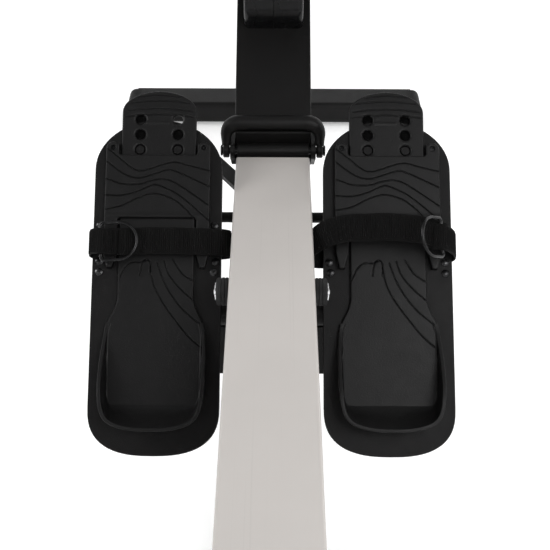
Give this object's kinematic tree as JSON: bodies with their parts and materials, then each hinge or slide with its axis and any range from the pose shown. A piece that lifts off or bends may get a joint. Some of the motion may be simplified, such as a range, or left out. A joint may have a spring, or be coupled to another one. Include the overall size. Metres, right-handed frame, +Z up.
{
  "type": "rowing machine",
  "caption": "Folding magnetic rowing machine: pale box rail with sliding padded seat, sloped mast with drum housing, strap handle and console, tilted footplates.",
  "frame": {"origin": "on the floor, under the middle of the machine's box", "axes": "+Y towards the flywheel, +X to the rower's right, +Z up"},
  "size_m": [0.533, 2.1675, 1.0241],
  "materials": {
    "frame_black": "satin powder coat",
    "rail_paint": "matte light greige paint",
    "plated_steel": "zinc plated",
    "bright_steel": "polished",
    "moulded_black": "fine spark texture",
    "gloss_black": "semi gloss",
    "toe_plastic": "fine texture with wave grooves",
    "webbing": "ribbed webbing",
    "rubber": "matte",
    "foam": "foam grip",
    "cast_iron": "machined rim",
    "seat_vinyl": "stitched vinyl",
    "screen": "display window",
    "button": "silicone"
  },
  "bodies": {
    "frame": {"main_beam": "frame_black", "mast": "frame_black", "front_leg": "frame_black", "front_stabilizer": "frame_black", "frame_end_caps": "moulded_black", "hinge_ears": "frame_black", "hinge_pin": "plated_steel", "wheel_bracket": "frame_black", "cross_tube": "frame_black", "footplate_saddle": "frame_black", "support_rod": "frame_black", "base_plate_left": "moulded_black", "base_plate_right": "moulded_black", "toe_panels": "toe_plastic", "screws": "bright_steel", "foot_strap_left": "webbing", "foot_strap_right": "webbing", "strap_cover_left": "gloss_black", "strap_cover_right": "gloss_black", "handle_rest": "moulded_black", "housing_left": "gloss_black", "housing_right": "gloss_black", "drive_frame": "plated_steel", "drive_shafts": "plated_steel", "bearings": "plated_steel", "drive_belt": "rubber", "return_spring": "plated_steel", "console_arm": "frame_black"},
    "wheels": {"transport_wheels": "rubber"},
    "heel_left": {"heel_rest_left": "toe_plastic"},
    "heel_right": {"heel_rest_right": "toe_plastic"},
    "ring_left": {"strap_ring_left": "bright_steel"},
    "ring_right": {"strap_ring_right": "bright_steel"},
    "roller": {"strap_roller": "plated_steel"},
    "wheel": {"flywheel": "cast_iron"},
    "pulley": {"drive_pulley": "moulded_black"},
    "reel": {"strap_reel": "moulded_black"},
    "brake": {"brake_arm": "plated_steel"},
    "knob": {"tension_knob": "gloss_black"},
    "handle": {"handle_bar": "plated_steel", "handle_grips": "foam", "handle_yoke": "moulded_black", "pull_strap": "webbing"},
    "console": {"console_case": "moulded_black", "console_screen": "screen"},
    "mode": {"mode_button": "button"},
    "reset": {"reset_button": "button"},
    "bail": {"lock_bail": "gloss_black"},
    "lever": {"release_lever": "frame_black"},
    "rail": {"rail_beam": "rail_paint", "rail_front_bracket": "frame_black", "rail_end_cap": "moulded_black", "rear_leg": "frame_black", "rear_end_caps": "moulded_black", "seat_stops": "rubber"},
    "seat": {"seat_carriage": "plated_steel", "seat_base": "moulded_black", "seat_pad": "seat_vinyl"},
    "seat_front_roller": {"front_rollers": "rubber"},
    "seat_rear_roller": {"rear_rollers": "rubber"}
  },
  "joints": [
    {"name": "rail_fold", "type": "hinge", "parent": "frame", "child": "rail", "pos_m": [0, 0.34125, 0.348], "axis": [1, 0, 0], "range_deg": [-86, 0]},
    {"name": "bail_swing", "type": "hinge", "parent": "frame", "child": "bail", "pos_m": [0, 0.34125, 0.348], "axis": [1, 0, 0], "range_deg": [0, 80]},
    {"name": "lever_press", "type": "hinge", "parent": "frame", "child": "lever", "pos_m": [-0.0356, 0.36625, 0.288], "axis": [1, 0, 0], "range_deg": [-28, 0], "stiffness_Nm_per_rad": 1.2, "springref_deg": 22.92},
    {"name": "heel_slide_left", "type": "slide", "parent": "frame", "child": "heel_left", "axis": [0, -0.7547, -0.6561], "range_m": [0, 0.032]},
    {"name": "heel_slide_right", "type": "slide", "parent": "frame", "child": "heel_right", "axis": [0, -0.7547, -0.6561], "range_m": [0, 0.032]},
    {"name": "ring_swing_left", "type": "hinge", "parent": "frame", "child": "ring_left", "pos_m": [-0.174, 0.19638, 0.33943], "axis": [0, 0.7547, 0.6561], "range_deg": [-60, 0]},
    {"name": "ring_swing_right", "type": "hinge", "parent": "frame", "child": "ring_right", "pos_m": [0.177, 0.19487, 0.35336], "axis": [0, 0.7547, 0.6561], "range_deg": [0, 60]},
    {"name": "transport_spin", "type": "hinge", "parent": "frame", "child": "wheels", "pos_m": [0, 1.05575, 0.034], "axis": [1, 0, 0], "continuous": true},
    {"name": "handle_pull", "type": "slide", "parent": "frame", "child": "handle", "axis": [0, -0.9962, 0.0872], "range_m": [0, 1.2], "stiffness_N_per_m": 6, "springref_m": -1.5},
    {"name": "reel_spin", "type": "hinge", "parent": "frame", "child": "reel", "pos_m": [0, 0.63925, 0.54], "axis": [1, 0, 0], "range_deg": [0, 2300]},
    {"name": "roller_spin", "type": "hinge", "parent": "frame", "child": "roller", "pos_m": [0, 0.48275, 0.50147], "axis": [1, 0, 0], "range_deg": [0, 6900]},
    {"name": "flywheel_spin", "type": "hinge", "parent": "frame", "child": "wheel", "pos_m": [0, 0.79425, 0.618], "axis": [1, 0, 0], "continuous": true},
    {"name": "pulley_spin", "type": "hinge", "parent": "frame", "child": "pulley", "pos_m": [0, 0.63925, 0.54], "axis": [1, 0, 0], "continuous": true},
    {"name": "knob_turn", "type": "hinge", "parent": "frame", "child": "knob", "pos_m": [0, 0.61883, 0.73742], "axis": [0, -0.7071, 0.7071], "range_deg": [0, 270]},
    {"name": "brake_swing", "type": "hinge", "parent": "frame", "child": "brake", "pos_m": [0, 0.89025, 0.71], "axis": [1, 0, 0], "range_deg": [-8, 0]},
    {"name": "console_tilt", "type": "hinge", "parent": "frame", "child": "console", "pos_m": [0, 0.62502, 0.95206], "axis": [1, 0, 0], "range_deg": [-20, 25]},
    {"name": "mode_press", "type": "slide", "parent": "console", "child": "mode", "axis": [0, 0.8192, -0.5736], "range_m": [0, 0.002], "stiffness_N_per_m": 400, "springref_m": -0.001},
    {"name": "reset_press", "type": "slide", "parent": "console", "child": "reset", "axis": [0, 0.8192, -0.5736], "range_m": [0, 0.002], "stiffness_N_per_m": 400, "springref_m": -0.001},
    {"name": "seat_slide", "type": "slide", "parent": "rail", "child": "seat", "axis": [0, 1, 0], "range_m": [-0.43, 0.48]},
    {"name": "seat_front_spin", "type": "hinge", "parent": "seat", "child": "seat_front_roller", "pos_m": [0, -0.42075, 0.3653], "axis": [1, 0, 0], "range_deg": [-1850, 1660]},
    {"name": "seat_rear_spin", "type": "hinge", "parent": "seat", "child": "seat_rear_roller", "pos_m": [0, -0.53075, 0.3653], "axis": [1, 0, 0], "range_deg": [-1850, 1660]}
  ],
  "couplings": [
    {"joint": "reel_spin", "follows": "handle_pull", "rad_per_m": 33.333},
    {"joint": "roller_spin", "follows": "handle_pull", "rad_per_m": 100},
    {"joint": "pulley_spin", "follows": "flywheel_spin", "ratio": 0.40476},
    {"joint": "brake_swing", "follows": "knob_turn", "ratio": -0.02963},
    {"joint": "seat_front_spin", "follows": "seat_slide", "rad_per_m": -66.667},
    {"joint": "seat_rear_spin", "follows": "seat_slide", "rad_per_m": -66.667}
  ]
}
